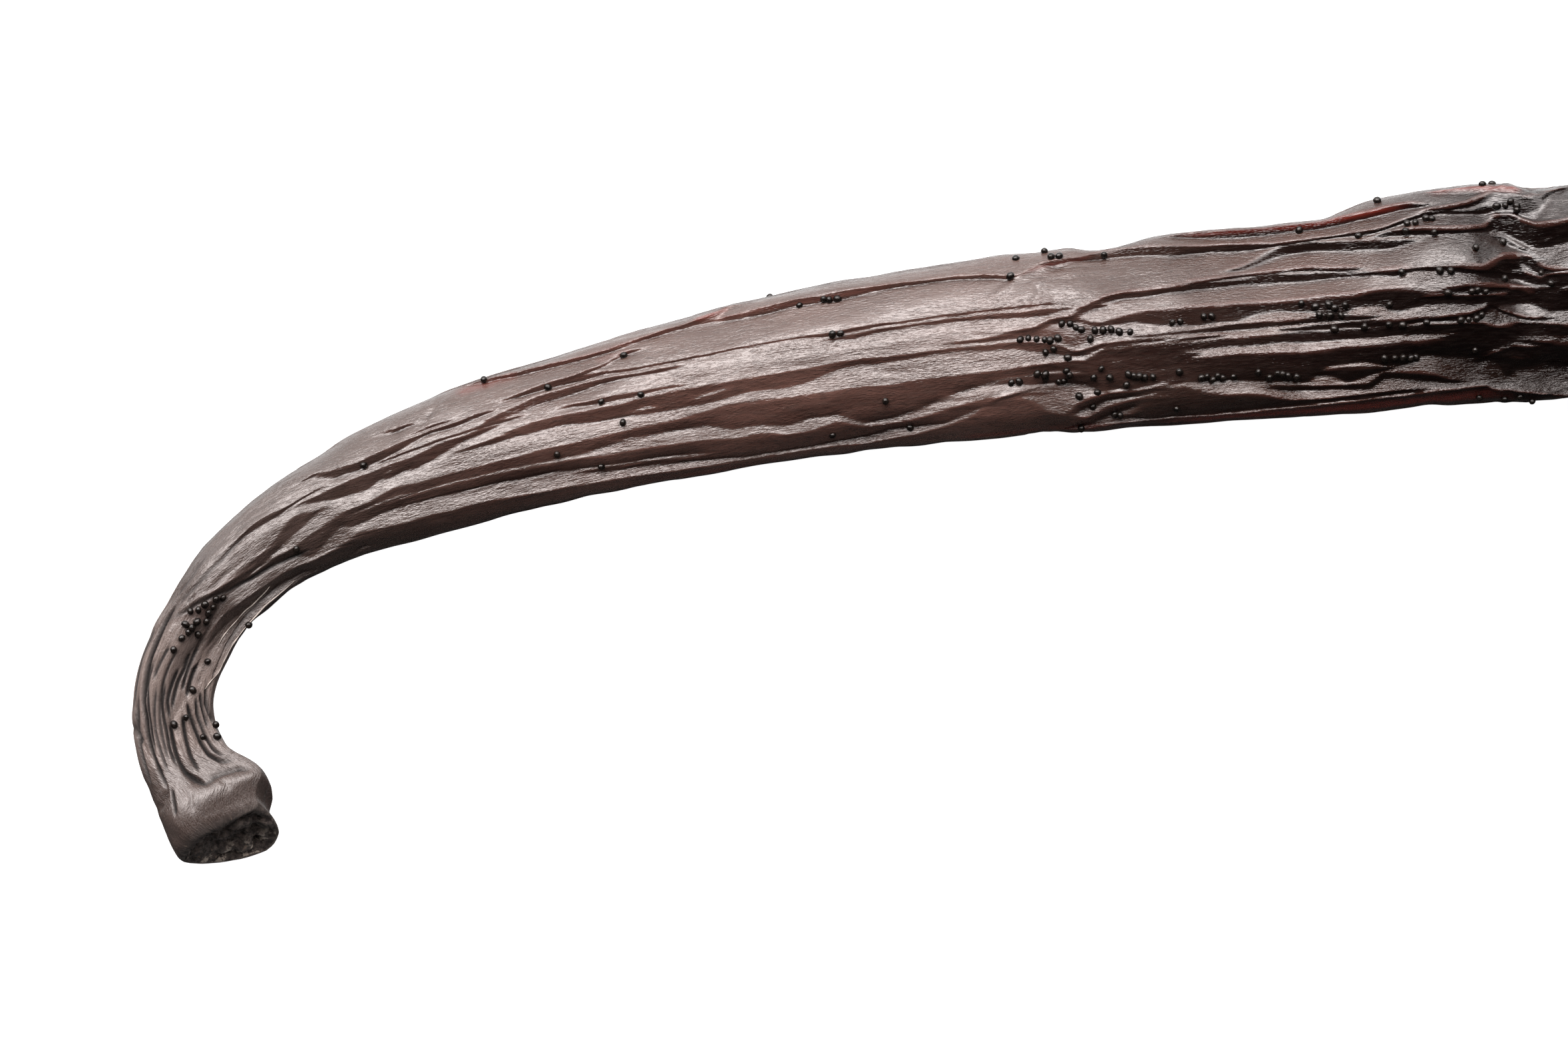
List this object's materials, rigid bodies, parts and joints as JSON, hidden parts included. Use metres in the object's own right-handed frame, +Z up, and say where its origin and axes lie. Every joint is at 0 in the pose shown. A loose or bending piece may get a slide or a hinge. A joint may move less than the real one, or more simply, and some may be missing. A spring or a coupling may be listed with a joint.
{
  "type": "vanilla pod",
  "caption": "Cured whole vanilla pod lying flat: long, wrinkled and dark brown, with a hooked, flared stem end and a blunt blossom tip.",
  "frame": {"origin": "centre of the pod's box in plan, on the surface that it lies on", "axes": "+X from the hooked stem end to the blossom tip, +Z up, away from the surface it lies on"},
  "size_m": [0.1428, 0.0258, 0.0047],
  "materials": {
    "pod_skin": "dark brown, oily and leathery, satin with fine lengthwise grain"
  },
  "bodies": {
    "root": {"pod": "pod_skin"}
  },
  "joints": []
}
